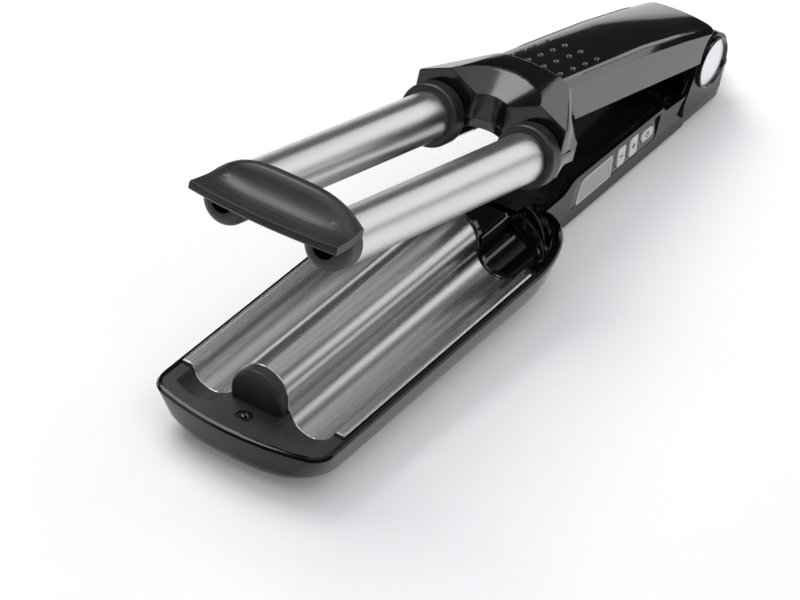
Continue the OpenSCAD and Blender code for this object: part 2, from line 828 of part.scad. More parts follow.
// A slightly domed disc that covers the pin's end
module hinge_cap(side) {
  dome_r = 60;
  rim = 1.6;
  translate([0, side * (ear_out - cap_seat), hinge_z]) rotate([-90 * side, 0, 0]) intersection() {
    cylinder(r = cap_r, h = cap_t + 1);
    translate([0, 0, cap_t - dome_r]) sphere(r = dome_r, $fn = 128);
    rotate_extrude() polygon([[0, 0], [cap_r, 0], [cap_r, rim], [cap_r - 0.6, rim + 0.6], [cap_r - 0.6, 9], [0, 9]]);
  }
}

module hinge_cap_left() {
  color("#d4d6da") hinge_cap(1);
}

module hinge_cap_right() {
  color("#d4d6da") hinge_cap(-1);
}

// Leg of the torsion spring that leaves the coil's underside at an upward tilt
module spring_leg(y, tilt) {
  translate([0, y, hinge_z]) rotate([0, -tilt, 0]) rod_x(spring_wire / 2, 0, spring_leg_len, 0, -spring_r);
}

// Close-wound torsion spring on the pin, one leg on the deck, one under the liner
module jaw_spring() {
  turns = 8;
  pitch = (2 * spring_half - spring_wire - 0.4) / (turns - 1);
  y0 = spring_half - 0.2 - spring_wire / 2;
  color("#8e9094") {
    for (i = [0:turns - 1])
      translate([0, -y0 + i * pitch, hinge_z]) rotate([90, 0, 0])
        rotate_extrude() translate([spring_r, 0]) circle(r = pitch / 2 + 0.04);
    spring_leg(-y0, -10);
    spring_leg(y0, open_angle + 4);
  }
}

module swivel_gland() {
  x0 = -tail_len - gland_out;
  x1 = -tail_len - 0.3;
  x2 = -tail_len + gland_boss_len + 0.2;
  translate([0, 0, gland_z]) rotate([0, 90, 0])
  color("#18181a")
  rotate_extrude() polygon([
    [cord_hole_d / 2, x0], [gland_r - 1.6, x0], [gland_r - 1, x0 + 0.8], [gland_r + 0.6, x1 - 1.2],
    [gland_r + 0.6, x1], [gland_r, x1], [gland_r, x2], [gland_flange_r, x2],
    [gland_flange_r, x2 + gland_flange], [cord_hole_d / 2, x2 + gland_flange]]);
}

// --------------------------------------------------------------- upper arm

// Height of the upper handle's top edges: level behind the yoke, falling toward the hinge
level_x = grip_front - 32;
function grip_edge_z(x) = grip_front_z - (grip_front_z - grip_rear_z) * pow(max(0, level_x - x) / level_x, 2);

// YZ outline of the upper handle at x, drawn in by d
module grip_section(x, d) {
  z1 = grip_edge_z(x) - d * 0.6;
  half = grip_top_half - d;
  z2 = z1 + grip_bevel * 0.85;
  crown = arc(0, z2 - d * 0.4, half - grip_bevel, grip_crown, 0, 180, 12);
  polygon(concat([[-grip_half + d, grip_z - d], [grip_half - d, grip_z - d], [half, z1]],
    crown, [[-half, z1]]));
}

module grip_form(d, x0, x1) {
  hull() {
    for (x = concat([x0], [for (t = [0.3, 0.65]) if (t * level_x > x0) t * level_x]))
      pull_x(x, x + slab) grip_section(x, d);
    pull_x(x1 - slab, x1) grip_section(x1, d);
  }
}

upper_boss_pos = [[grip_start + 14, 0], [grip_front / 2, 0], [grip_front - 14, 0]];

module upper_shell() {
  knuckle_top = [[0, hinge_z + knuckle_r], [grip_start + 1, grip_edge_z(grip_start)],
    [grip_start + 1, hinge_z - 4], [0, hinge_z - knuckle_r + 4]];
  color("#0e0e10")
  on_jaw()
  difference() {
    union() {
      difference() {
        grip_form(0, 2, grip_front);
        grip_form(wall, grip_start + wall, grip_front + 1);
      }
      // hinge knuckle
      rod_y(knuckle_r, -knuckle_half, knuckle_half, 0, hinge_z);
      pull_y(-knuckle_half, knuckle_half) polygon(knuckle_top);
      for (p = upper_boss_pos)
        translate([p[0], p[1], grip_z + 1.8]) cylinder(r = boss_r, h = grip_edge_z(p[0]) + grip_bevel - grip_z - 1.3);
    }
    rod_y(pin_r + run_gap, -far, far, 0, hinge_z);
    // round ends beside the hinge ears
    for (s = [-1, 1]) rod_y(ear_r + swing_gap, s > 0 ? knuckle_half : -far, s > 0 ? far : -knuckle_half, 0, hinge_z);
    // room for the torsion spring between the knuckle's halves
    rod_y(knuckle_r + 2, -spring_slot, spring_slot, 0, hinge_z - 3);
    block([0, -spring_slot, 0], [grip_start + 10, spring_slot, hinge_z - 1]);
    for (p = upper_boss_pos) translate([p[0], p[1], 0]) cylinder(r = screw_hole_r, h = grip_edge_z(p[0]) - 4);
  }
}

module upper_liner() {
  top = grip_z + 1.4;
  inner = grip_half - wall - 1;
  x0 = grip_start + wall + 3;
  x1 = grip_front - 1;
  color("#131315")
  on_jaw()
  difference() {
    union() {
      pull_x(x0, x1) {
        translate([-liner_half, liner_z]) square([2 * liner_half, 3]);
        translate([-inner, liner_z + 2]) square([2 * inner, top - liner_z - 2]);
      }
    }
    pull_x(x0 + 1.8, x1 - 1.8) translate([-liner_half + 1.6, liner_z + 1.8]) square([2 * liner_half - 3.2, far]);
    for (p = upper_boss_pos) translate([p[0], p[1], 0]) {
      cylinder(r = screw_hole_r + 0.2, h = far);
      translate([0, 0, liner_z - 1]) cylinder(r = 3, h = 2);
    }
  }
}

module upper_screws() {
  color("silver")
  on_jaw()
  for (p = upper_boss_pos) translate([p[0], p[1], liner_z - 0.4]) rotate([180, 0, 0])
    pan_screw(head_r, head_h, screw_hole_r - 0.05, screw_len);
}

pod_r = ring_d / 2 - 0.6;
yoke_half = yoke_w / 2;
seam_x = grip_front - 2.5;
yoke_top_z = grip_front_z - 0.8;
yoke_crown = 4;
scoop_tilt = 9.3;
scoop_slope = 1.95;

// Points of the yoke's section where it meets the handle, set off by 0.3 from the handle's skin
module yoke_rear_section() {
  z2 = grip_front_z + grip_bevel * 0.85 + 0.2;
  polygon(concat([[-grip_half - 0.3, barrel_z], [grip_half + 0.3, barrel_z], [grip_half + 0.3, grip_z],
    [grip_top_half + 0.3, grip_front_z]], arc(0, z2, grip_top_half - grip_bevel + 0.2, grip_crown + 0.2, 0, 180, 12),
    [[-grip_top_half - 0.3, grip_front_z], [-grip_half - 0.3, grip_z]]));
}

// Points of the yoke's front face: crowned top, outer corners and upright sides
module yoke_front_section() {
  top = arc(0, yoke_top_z, scoop_r - 1, yoke_crown, 8, 172, 10);
  polygon(concat([[-yoke_half, barrel_z], [yoke_half, barrel_z], [yoke_half, yoke_corner_z - 0.6],
    [yoke_half - 0.6, yoke_corner_z]], top, [[-yoke_half + 0.6, yoke_corner_z], [-yoke_half, yoke_corner_z - 0.6]]));
}

// Outer form of the yoke and its cover: a band that widens into two shoulders over the barrel roots
module yoke_form() {
  shoulder_rear = yoke_front - 12.5;
  hull() {
    pull_x(seam_x, seam_x + 3) yoke_rear_section();
    pull_x(yoke_front - 0.6, yoke_front - 0.5) yoke_front_section();
    block([shoulder_rear, -yoke_half, barrel_z], [yoke_front - 1, yoke_half, barrel_z + 6]);
    block([yoke_front - 4, -yoke_half, barrel_z], [yoke_front - 1, yoke_half, yoke_corner_z - 0.6]);
  }
  intersection() {
    for (s = [-1, 1]) rod_x(pod_r, shoulder_rear, yoke_front, s * barrel_y, barrel_z);
    block([0, -yoke_half, 0], [far, yoke_half, far]);
  }
}

// Tilted cone and upright wall that open the throat between the barrel roots
module yoke_throat() {
  reach = 14;
  translate([throat_x, 0, barrel_z + 12]) rotate([0, scoop_tilt, 0])
    cylinder(r1 = throat_r + 0.2, r2 = throat_r + 0.2 + scoop_slope * reach, h = reach);
  translate([throat_x, 0, 0]) cylinder(r = throat_r, h = barrel_z + 14.4);
}

module barrel_yoke() {
  plug = 8;
  color("#0e0e10")
  on_jaw()
  difference() {
    union() {
      intersection() {
        yoke_form();
        block([grip_front, -far, parting_z], [far, far, far]);
      }
      // plug inside the handle
      intersection() {
        grip_form(wall + seat_gap, grip_front - plug, grip_front + 1);
        block([0, -far, grip_z + 2], [far, far, far]);
      }
    }
    yoke_throat();
    for (s = [-1, 1]) rod_x(barrel_r + seat_gap, barrel_root, far, s * barrel_y, barrel_z);
    for (p = yoke_screw_pos) translate([p[0], p[1], 0]) cylinder(r = screw_hole_r, h = barrel_z + 8);
    // room above the liner's end and the yoke cover
    block([grip_front - plug - 1, -grip_half + 6, 0], [grip_front + 7, grip_half - 6, grip_z + 5]);
  }
}

yoke_screw_y = barrel_y - barrel_r - 2.3;
yoke_screw_pos = [for (s = [-1, 1]) [grip_front + 0.37 * yoke_len, s * yoke_screw_y]];
web_z = tray_top + 3;

// Lower half of the yoke: the roots' half-round undersides and a web between them
module yoke_cover() {
  plan_gap = bowl_inset + 0.9;
  color("#0e0e10")
  on_jaw()
  difference() {
    union() {
      intersection() {
        yoke_form();
        block([grip_front, -far, web_z], [yoke_front, far, parting_z]);
      }
      // half-round roots that dip into the pocket
      intersection() {
        for (s = [-1, 1]) rod_x(pod_r, grip_front, yoke_front, s * barrel_y, barrel_z);
        housing_form(plan_gap, barrel_z - pod_r - 1, parting_z);
        block([grip_front, -far, 0], [yoke_front, far, parting_z]);
      }
    }
    translate([throat_x, 0, 0]) cylinder(r = throat_r, h = far);
    for (s = [-1, 1]) rod_x(barrel_r + seat_gap, barrel_root, far, s * barrel_y, barrel_z);
    for (p = yoke_screw_pos) translate([p[0], p[1], 0]) cylinder(r = screw_hole_r + 0.2, h = far);
    // seats of the screw heads
    for (p = yoke_screw_pos) translate([p[0], p[1], 0]) cylinder(r = 3, h = web_z);
  }
}

module yoke_screws() {
  color("silver")
  on_jaw()
  for (p = yoke_screw_pos) translate([p[0], p[1], web_z - head_h]) rotate([180, 0, 0])
    pan_screw(head_r, head_h, screw_hole_r - 0.05, screw_len);
}

module barrel(side) {
  color("#b4b2b0")
  on_jaw()
  difference() {
    rod_x(barrel_r, barrel_root + seat_gap, barrel_front, side * barrel_y, barrel_z);
    rod_x(barrel_r - barrel_t, 0, far, side * barrel_y, barrel_z);
  }
}

module barrel_left() {
  barrel(1);
}

module barrel_right() {
  barrel(-1);
}

// Rubber-like ring with rounded edges around the barrel's root
module collar_ring(side) {
  r0 = barrel_r + seat_gap;
  r1 = ring_d / 2;
  bead = 1.3;
  color("#1b1b1d")
  on_jaw()
  translate([ring_rear, side * barrel_y, barrel_z]) rotate([0, 90, 0])
  rotate_extrude() union() {
    translate([r0, 0]) square([r1 - r0, ring_len - bead]);
    translate([r0, 0]) square([r1 - bead - r0, ring_len]);
    translate([r1 - bead, ring_len - bead]) circle(r = bead);
  }
}

module collar_ring_left() {
  collar_ring(1);
}

module collar_ring_right() {
  collar_ring(-1);
}

// Split aluminium core that carries the heating element inside the barrel
module barrel_heater(side) {
  core_r = barrel_r - barrel_t - seat_gap;
  color("#c4c7cb")
  on_jaw()
  difference() {
    rod_x(core_r, core_rear, core_front, side * barrel_y, barrel_z);
    block([core_rear - 1, side * barrel_y - 6, barrel_z - 1.3], [core_front - 8, side * barrel_y + 6, barrel_z + 1.3]);
    rod_x(screw_hole_r, core_rear - 1, far, side * barrel_y, barrel_z);
  }
}

module barrel_heater_left() {
  barrel_heater(1);
}

module barrel_heater_right() {
  barrel_heater(-1);
}

// ---------------------------------------------------------------- tip bridge

bridge_rear_x = barrel_front;
bridge_rear_half = bridge_half - 1.2;
bridge_lip_x = nose_front + 8.2;

// Fall of the bridge's scoop: steep behind the crest, then nearly level to the lip
function scoop_fall(t) = 1 / (1 + pow(t / 0.26, 2.2)) - 0.049 * t;

// XZ section of the bridge at share s of its half-width, as 3-D points
function bridge_ring(s) =
  let (swell = 1 - s * s)
  let (rise = 1 - pow(abs(s), 3.5))
  let (rear = bridge_rear_x)
  let (lip = bridge_lip_x + bridge_bow * swell)
  let (lip_top = bridge_z + bridge_lip_t)
  let (edge_top = lip_top + 1.8)
  let (crest = edge_top + (bridge_crest_z - edge_top) * rise)
  let (ridge_w = 1 + 3 * rise)
  let (scoop = [for (i = [0:12]) let (t = i / 12)
    [rear + ridge_w + (lip - 1 - rear - ridge_w) * t, lip_top + (crest - lip_top) * scoop_fall(t)]])
  let (outline = concat([[rear, bridge_z], [rear, crest - 1.4 * rise - 0.2], [rear + 0.5 + rise, crest]], scoop,
    [[lip - 0.3, lip_top - 0.2], [lip, lip_top - 0.7], [lip, bridge_z + 0.6], [lip - 0.6, bridge_z]]))
  [for (p = outline) let (w = (p[0] - rear) / (lip - rear))
    [p[0], s * (bridge_rear_half + (bridge_half - bridge_rear_half) * w), p[1]]];

module barrel_nose(side) {
  translate([barrel_front, side * barrel_y, barrel_z]) rotate([0, 90, 0]) {
    rotate_extrude() union() {
      square([barrel_r, nose_len - nose_round]);
      square([barrel_r - nose_round, nose_len]);
      translate([barrel_r - nose_round, nose_len - nose_round]) circle(r = nose_round);
    }
    translate([0, 0, -spigot_len]) cylinder(r = spigot_r, h = spigot_len + 1);
  }
}

// Counterbore of a nose; under the bridge's lip it only keeps the screw's way clear
module nose_bore(side) {
  rod_x(nose_bore_r, nose_front - nose_bore_len, nose_front + 0.2, side * barrel_y, barrel_z);
  rod_x(bridge_head_r + 0.2, nose_front, far, side * barrel_y, barrel_z - 0.8);
}

module tip_bridge() {
  stations = 24;
  color("#2b2b2e")
  on_jaw()
  difference() {
    union() {
      skin([for (i = [0:stations]) bridge_ring(-1 + 2 * i / stations)]);
      for (s = [-1, 1]) barrel_nose(s);
    }
    // clearance over the half dome of the lower tip
    rod_x(ridge_r + 1, barrel_front - 10, plate_front + 7, 0, barrel_z);
    for (s = [-1, 1]) {
      nose_bore(s);
      rod_x(screw_hole_r + 0.1, barrel_front - 3 * spigot_len, far, s * barrel_y, barrel_z);
    }
  }
}

module bridge_screws() {
  color("#6c6e72")
  on_jaw()
  for (s = [-1, 1]) {
    rod_x(bridge_head_r, nose_front - nose_bore_len, nose_front - nose_bore_len + 2, s * barrel_y, barrel_z);
    rod_x(screw_hole_r - 0.05, core_front - 6, nose_front - nose_bore_len + eps, s * barrel_y, barrel_z);
  }
}

// ------------------------------------------------------------------ output
lower_shell();
handle_deck();
pocket_tray();
plate_carrier();
wave_plate();
ridge_heater();
heater_spring();
thermal_fuse();
tip_cap();
tip_screw();
deck_screws();
control_board();
tact_switches();
display_module();
display_window();
control_bezel();
button_minus();
button_plus();
button_power();
hinge_pin();
hinge_cap_left();
hinge_cap_right();
jaw_spring();
swivel_gland();
upper_shell();
upper_liner();
upper_screws();
barrel_yoke();
yoke_cover();
yoke_screws();
barrel_left();
barrel_right();
collar_ring_left();
collar_ring_right();
barrel_heater_left();
barrel_heater_right();
tip_bridge();
bridge_screws();
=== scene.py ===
"""Looks of the hair waver: materials, fine details, floor, light and camera.

Places and sizes are in millimetres, times MM where Blender takes metres. Places on the upper arm are given
for the closed jaw, and jaw_place opens them. X runs from the hinge to the tip, and Z is up.
"""
import json
import math

import bmesh
import bpy
from mathutils import Matrix, Vector
from mathutils.bvhtree import BVHTree


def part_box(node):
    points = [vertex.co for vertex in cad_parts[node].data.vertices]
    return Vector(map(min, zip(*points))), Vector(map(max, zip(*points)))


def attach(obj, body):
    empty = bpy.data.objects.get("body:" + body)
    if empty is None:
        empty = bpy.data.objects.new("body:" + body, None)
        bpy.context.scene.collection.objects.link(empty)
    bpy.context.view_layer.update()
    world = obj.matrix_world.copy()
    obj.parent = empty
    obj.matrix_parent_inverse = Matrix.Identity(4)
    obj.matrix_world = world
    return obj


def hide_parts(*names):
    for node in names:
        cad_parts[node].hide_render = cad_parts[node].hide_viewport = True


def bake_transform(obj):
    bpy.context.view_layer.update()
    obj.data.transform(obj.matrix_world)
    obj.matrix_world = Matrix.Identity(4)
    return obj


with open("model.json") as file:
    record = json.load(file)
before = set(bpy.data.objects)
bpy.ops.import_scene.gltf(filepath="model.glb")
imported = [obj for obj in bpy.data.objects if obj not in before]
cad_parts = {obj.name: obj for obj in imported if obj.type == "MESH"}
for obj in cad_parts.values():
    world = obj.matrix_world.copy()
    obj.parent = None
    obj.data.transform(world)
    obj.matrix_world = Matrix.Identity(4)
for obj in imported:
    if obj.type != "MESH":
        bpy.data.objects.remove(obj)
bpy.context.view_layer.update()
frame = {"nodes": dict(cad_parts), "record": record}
nodes = frame["nodes"]

MM = 0.001
JAW = math.radians(14.2)  # how far the jaw stands open at rest
HINGE_Z = 25.9  # height of the hinge pin
UP = Vector((0, 0, 1))
JAW_UP = Vector((-math.sin(JAW), 0, math.cos(JAW)))
JAW_FORWARD = Vector((math.cos(JAW), 0, math.sin(JAW)))
SIDES = (("left", 1), ("right", -1))  # a name, and the sign of Y


def new_object(name, data):
    obj = bpy.data.objects.new(name, data)
    bpy.context.scene.collection.objects.link(obj)
    return obj


def towards(azimuth, elevation):
    """The unit vector at an azimuth and an elevation in radians."""
    flat = math.cos(elevation)
    return Vector((flat * math.cos(azimuth), flat * math.sin(azimuth), math.sin(elevation)))


# ------------------------------------------------------------------ camera
AZ, EL, ROLL = (math.radians(a) for a in (29.93, 36.19, 5.83))
SHIFT_X, SHIFT_Y, DISTANCE = -4.76 * MM, -5.48 * MM, 1472.99 * MM
FOCAL_PX, IMAGE_W, SENSOR_W = 3993.99, 800, 36
NEAR, FAR = 0.05, 20
CENTRE = Vector((190, 0, 15)) * MM


def make_camera():
    back = towards(AZ, EL)
    level = Vector((-math.sin(AZ), math.cos(AZ), 0))
    upright = back.cross(level)
    right = level * math.cos(ROLL) + upright * math.sin(ROLL)
    up = upright * math.cos(ROLL) - level * math.sin(ROLL)
    place = CENTRE + right * SHIFT_X + up * SHIFT_Y + back * DISTANCE
    data = bpy.data.cameras.new("camera")
    data.sensor_width = SENSOR_W
    data.lens = FOCAL_PX / IMAGE_W * SENSOR_W
    data.clip_start, data.clip_end = NEAR, FAR
    cam = new_object("camera", data)
    cam.matrix_world = Matrix((
        (right.x, up.x, back.x, place.x), (right.y, up.y, back.y, place.y),
        (right.z, up.z, back.z, place.z), (0, 0, 0, 1)))
    bpy.context.scene.camera = cam


# --------------------------------------------------------------- materials
NOISE_LOW, NOISE_HIGH = 0.3, 0.7  # the stretch of a noise that a tint or a ramp spreads over
BEVEL_SAMPLES = 4
DRIFT_SCALE, DRIFT_DETAIL = 35, 3  # broad drift in a plastic's colour and roughness
GRAIN_DETAIL = 2
COAT_ROUGHNESS = 0.03
SCRATCH_SCALE, SCRATCH_DETAIL, SCRATCH_DEPTH, METAL_EDGE = 120, 3, 0.00002, 0.0003


def new_material(name):
    mat = bpy.data.materials.new(name)
    mat.use_nodes = True
    return mat, mat.node_tree, mat.node_tree.nodes["Principled BSDF"]


def link(tree, a, out, b, inp):
    tree.links.new(a.outputs[out], b.inputs[inp])


def noise(tree, scale, detail, stretch=(1, 1, 1), tilt=0.0):
    coord = tree.nodes.new("ShaderNodeTexCoord")
    mapping = tree.nodes.new("ShaderNodeMapping")
    mapping.inputs["Rotation"].default_value = (0, tilt, 0)
    mapping.inputs["Scale"].default_value = stretch
    tex = tree.nodes.new("ShaderNodeTexNoise")
    tex.inputs["Scale"].default_value = scale
    tex.inputs["Detail"].default_value = detail
    link(tree, coord, "Object", mapping, "Vector")
    link(tree, mapping, "Vector", tex, "Vector")
    return tex


def ramp(tree, tex, low, high):
    node = tree.nodes.new("ShaderNodeMapRange")
    for key, value in (("From Min", NOISE_LOW), ("From Max", NOISE_HIGH), ("To Min", low), ("To Max", high)):
        node.inputs[key].default_value = value
    link(tree, tex, "Fac", node, "Value")
    return node


def tint(tree, tex, dark, light):
    node = tree.nodes.new("ShaderNodeValToRGB")
    first, last = node.color_ramp.elements
    first.color, last.color = (*dark, 1), (*light, 1)
    first.position, last.position = NOISE_LOW, NOISE_HIGH
    link(tree, tex, "Fac", node, "Fac")
    return node


def vary(tree, shader, tex, dark, light, rough):
    """Lets a noise drive the colour and the roughness."""
    link(tree, tint(tree, tex, dark, light), "Color", shader, "Base Color")
    link(tree, ramp(tree, tex, *rough), "Result", shader, "Roughness")


def relief(tree, shader, tex, strength, depth, edge):
    """Rounds the shading of tight edges, with a bump on top."""
    bevel = tree.nodes.new("ShaderNodeBevel")
    bevel.samples = BEVEL_SAMPLES
    bevel.inputs["Radius"].default_value = edge
    bump = tree.nodes.new("ShaderNodeBump")
    bump.inputs["Strength"].default_value = strength
    bump.inputs["Distance"].default_value = depth
    link(tree, tex, "Fac", bump, "Height")
    link(tree, bevel, "Normal", bump, "Normal")
    link(tree, bump, "Normal", shader, "Normal")


def plastic(name, dark, light, rough, grain=900, depth=0.00002, strength=0.2, coat=0.0, edge=0.00035,
            specular=0.5):
    """Moulded plastic: colour drift, roughness drift and a fine moulded grain."""
    mat, tree, shader = new_material(name)
    vary(tree, shader, noise(tree, DRIFT_SCALE, DRIFT_DETAIL), dark, light, rough)
    relief(tree, shader, noise(tree, grain, GRAIN_DETAIL), strength, depth, edge)
    shader.inputs["Specular IOR Level"].default_value = specular
    shader.inputs["Coat Weight"].default_value = coat
    shader.inputs["Coat Roughness"].default_value = COAT_ROUGHNESS
    return mat


def brushed(name, dark, light, rough, stretch, tilt=0.0, strength=0.06):
    """Metal with fine scratches in colour, roughness and bump, drawn out where stretch is smallest."""
    mat, tree, shader = new_material(name)
    shader.inputs["Metallic"].default_value = 1
    scratches = noise(tree, SCRATCH_SCALE, SCRATCH_DETAIL, stretch, tilt)
    vary(tree, shader, scratches, dark, light, rough)
    relief(tree, shader, scratches, strength, SCRATCH_DEPTH, METAL_EDGE)
    return mat


def clear_window():
    """The display's cover: nearly opaque, pale and smudged a little."""
    mat, tree, shader = new_material("clear_window")
    smudge = noise(tree, 40, 3)
    vary(tree, shader, smudge, (0.56, 0.58, 0.575), (0.62, 0.64, 0.635), (0.04, 0.09))
    shader.inputs["Transmission Weight"].default_value = 0.15
    shader.inputs["IOR"].default_value = 1.49
    return mat


GLOSS = dict(dark=(0.0035, 0.0035, 0.004), light=(0.006, 0.006, 0.007), grain=300, depth=0.000006)
PLASTICS = {
    "black_gloss": dict(GLOSS, rough=(0.05, 0.10), strength=0.05, coat=0.5),
    "shell_gloss": dict(GLOSS, rough=(0.07, 0.12), strength=0.05, coat=0.1, specular=0.28),
    "yoke_gloss": dict(GLOSS, rough=(0.12, 0.17), strength=0.04, coat=0.1, edge=0.0007),
    "black_satin": dict(dark=(0.006, 0.006, 0.007), light=(0.010, 0.010, 0.011), rough=(0.12, 0.2), coat=0.6),
    "charcoal": dict(dark=(0.016, 0.016, 0.018), light=(0.026, 0.026, 0.029), rough=(0.36, 0.48), grain=1400),
    "heat_plastic": dict(dark=(0.55, 0.50, 0.42), light=(0.66, 0.62, 0.54), rough=(0.5, 0.6)),
    "board_green": dict(dark=(0.02, 0.14, 0.05), light=(0.04, 0.22, 0.08), rough=(0.3, 0.4)),
    "display_grey": dict(dark=(0.52, 0.54, 0.53), light=(0.58, 0.60, 0.59), rough=(0.3, 0.4)),
    "bezel_grey": dict(dark=(0.03, 0.03, 0.034), light=(0.045, 0.045, 0.05), rough=(0.12, 0.2), coat=0.5),
    "silver_key": dict(dark=(0.82, 0.83, 0.85), light=(0.9, 0.91, 0.93), rough=(0.2, 0.3), coat=0.3),
    "soft_rubber": dict(dark=(0.012, 0.012, 0.012), light=(0.02, 0.02, 0.02), rough=(0.55, 0.7)),
}
METALS = {  # stretch is the noise's scale along X, Y and Z; equal values give it no direction
    "titanium": dict(dark=(0.615, 0.605, 0.60), light=(0.65, 0.64, 0.635), rough=(0.25, 0.28),
                     stretch=(0.1, 9, 9), strength=0.01),
    "titanium_tube": dict(dark=(0.70, 0.70, 0.705), light=(0.74, 0.74, 0.745), rough=(0.30, 0.34),
                          stretch=(0.1, 9, 9), tilt=JAW, strength=0.012),
    "polished": dict(dark=(0.74, 0.74, 0.745), light=(0.78, 0.78, 0.785), rough=(0.16, 0.2),
                     stretch=(0.1, 2, 2), strength=0.004),
    "silver_cap": dict(dark=(0.76, 0.77, 0.79), light=(0.82, 0.83, 0.85), rough=(0.26, 0.32),
                       stretch=(9, 1, 9), strength=0.008),
    "bare_aluminium": dict(dark=(0.66, 0.67, 0.69), light=(0.8, 0.81, 0.83), rough=(0.3, 0.42),
                           stretch=(1, 9, 9)),
    "spring_steel": dict(dark=(0.42, 0.42, 0.44), light=(0.58, 0.58, 0.6), rough=(0.22, 0.32),
                         stretch=(6, 6, 6)),
    "dark_steel": dict(dark=(0.06, 0.06, 0.065), light=(0.13, 0.13, 0.14), rough=(0.25, 0.35),
                       stretch=(6, 6, 6)),
}
MATERIALS = {name: plastic(name, **recipe) for name, recipe in PLASTICS.items()}
MATERIALS.update({name: brushed(name, **recipe) for name, recipe in METALS.items()})
MATERIALS["clear_window"] = clear_window()
BODY = {node: body for body, group in frame["record"]["behaviour"]["bodies"].items() for node in group}
SLOT = {entry["node"]: entry["material_slot"] for entry in frame["record"]["subparts"]}


def dress_nodes():
    """Gives every CAD node the material of its slot."""
    for node, slot in SLOT.items():
        for place in nodes[node].material_slots:
            place.material = MATERIALS[slot]


# ------------------------------------------------------- meshes and pieces
DETAIL_ANGLE = 40


def to_mesh(name, bm, angle):
    """Ends a bmesh as a mesh that is smooth where its faces meet within an angle in degrees."""
    limit = math.radians(angle)
    for face in bm.faces:
        face.smooth = True
    for edge in bm.edges:
        edge.smooth = len(edge.link_faces) == 2 and edge.calc_face_angle(0) < limit
    mesh = bpy.data.meshes.new(name)
    bm.to_mesh(mesh)
    bm.free()
    return mesh


def give_material(mesh, material):
    mesh.materials.clear()
    mesh.materials.append(MATERIALS[material])


def add_piece(name, mesh, body, slot, material=None, replaced=()):
    """A piece that rides on a body, in its slot's material unless another is named."""
    obj = new_object(name, mesh)
    give_material(mesh, material or slot)
    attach(obj, body)
    if replaced:
        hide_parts(*replaced)
    return obj


def outward_mesh(name, bm, angle=DETAIL_ANGLE):
    bmesh.ops.recalc_face_normals(bm, faces=bm.faces)
    return to_mesh(name, bm, angle)


def add_detail(name, bm, body, slot, material=None, angle=DETAIL_ANGLE):
    add_piece(name, outward_mesh(name, bm, angle), body, slot, material)


# ------------------------------------------- moulded skins over the CAD solids
SKINS = ("lower_shell", "handle_deck", "pocket_tray", "wave_plate", "tip_cap", "tip_screw", "deck_screws",
         "control_bezel", "button_minus", "button_plus", "button_power", "hinge_cap_left", "hinge_cap_right",
         "upper_shell", "upper_liner", "upper_screws", "barrel_yoke", "yoke_cover", "yoke_screws",
         "barrel_left", "barrel_right", "collar_ring_left", "collar_ring_right", "tip_bridge",
         "bridge_screws", "swivel_gland")
FINISH = {"barrel_left": "titanium_tube", "barrel_right": "titanium_tube", "barrel_yoke": "yoke_gloss",
          "lower_shell": "shell_gloss"}  # skins whose material isn't their slot's
SKIN_ANGLES = {"barrel_yoke": 50, "pocket_tray": 42, "upper_shell": 9, "tip_bridge": 35}
SKIN_ANGLE, SPRING_ANGLE = 27, 40
WELD = 0.002 * MM
NORMAL_WEIGHT = 80


def welded(name):
    """A CAD node's surface with its doubled corners joined."""
    bm = bmesh.new()
    bm.from_mesh(nodes[name].data)
    bmesh.ops.remove_doubles(bm, verts=bm.verts, dist=WELD)
    return bm


def make_skin(name):
    """The CAD solid's own surface, welded, with smooth curves and crisp corners."""
    bm = welded(name)
    bmesh.ops.dissolve_degenerate(bm, edges=bm.edges, dist=WELD)
    mesh = to_mesh(name + "_skin", bm, SKIN_ANGLES.get(name, SKIN_ANGLE))
    obj = add_piece(name + "_skin", mesh, BODY[name], SLOT[name], FINISH.get(name), (name,))
    even = obj.modifiers.new("even", "WEIGHTED_NORMAL")
    even.keep_sharp = True
    even.weight = NORMAL_WEIGHT


def make_spring():
    """The torsion spring's wire, welded and smoothed, as one fixed piece that rides on no body."""
    mesh = to_mesh("jaw_spring_wire", welded("jaw_spring"), SPRING_ANGLE)
    give_material(mesh, "spring_steel")
    obj = new_object("jaw_spring_wire", mesh)
    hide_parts("jaw_spring")
    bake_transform(obj)


# --------------------------------------------------------- forms for details
BEAD_SIDES = 12
FEWEST_POINTS = 5  # a bead with fewer is left out
SPLINE_STEPS = 6
ANY_REACH = 1000


def jaw_place(x, y, z):
    """A place on the closed upper arm in millimetres, opened to its rest place in metres."""
    c, s, rise = math.cos(JAW), math.sin(JAW), z - HINGE_Z
    return Vector((x * c - rise * s, y, x * s + rise * c + HINGE_Z)) * MM


def surface_of(name):
    bm = bmesh.new()
    bm.from_mesh(nodes[name].data)
    surface = BVHTree.FromBMesh(bm)
    bm.free()
    return surface


def trace(surface, starts, direction, reach=ANY_REACH):
    """The place and the normal where each ray meets a surface within a reach; rays that miss are left out."""
    hits = [surface.ray_cast(start, direction, reach * MM)[:2] for start in starts]
    return [(spot, normal) for spot, normal in hits if spot is not None]


def spaced(first, last, count):
    return [first + (last - first) * k / (count - 1) for k in range(count)]


def angles(count):
    return [math.tau * k / count for k in range(count)]


def band(bm, a, b):
    """Joins two rings of vertices with faces."""
    for k in range(len(a)):
        n = (k + 1) % len(a)
        bm.faces.new((a[k], a[n], b[n], b[k]))


def join(bm, rings, loop=False):
    """Joins rings of vertices into a tube with closed ends, or into a loop."""
    for a, b in zip(rings, rings[1:]):
        band(bm, a, b)
    if loop:
        band(bm, rings[-1], rings[0])
    else:
        bm.faces.new(rings[0])
        bm.faces.new(rings[-1][::-1])


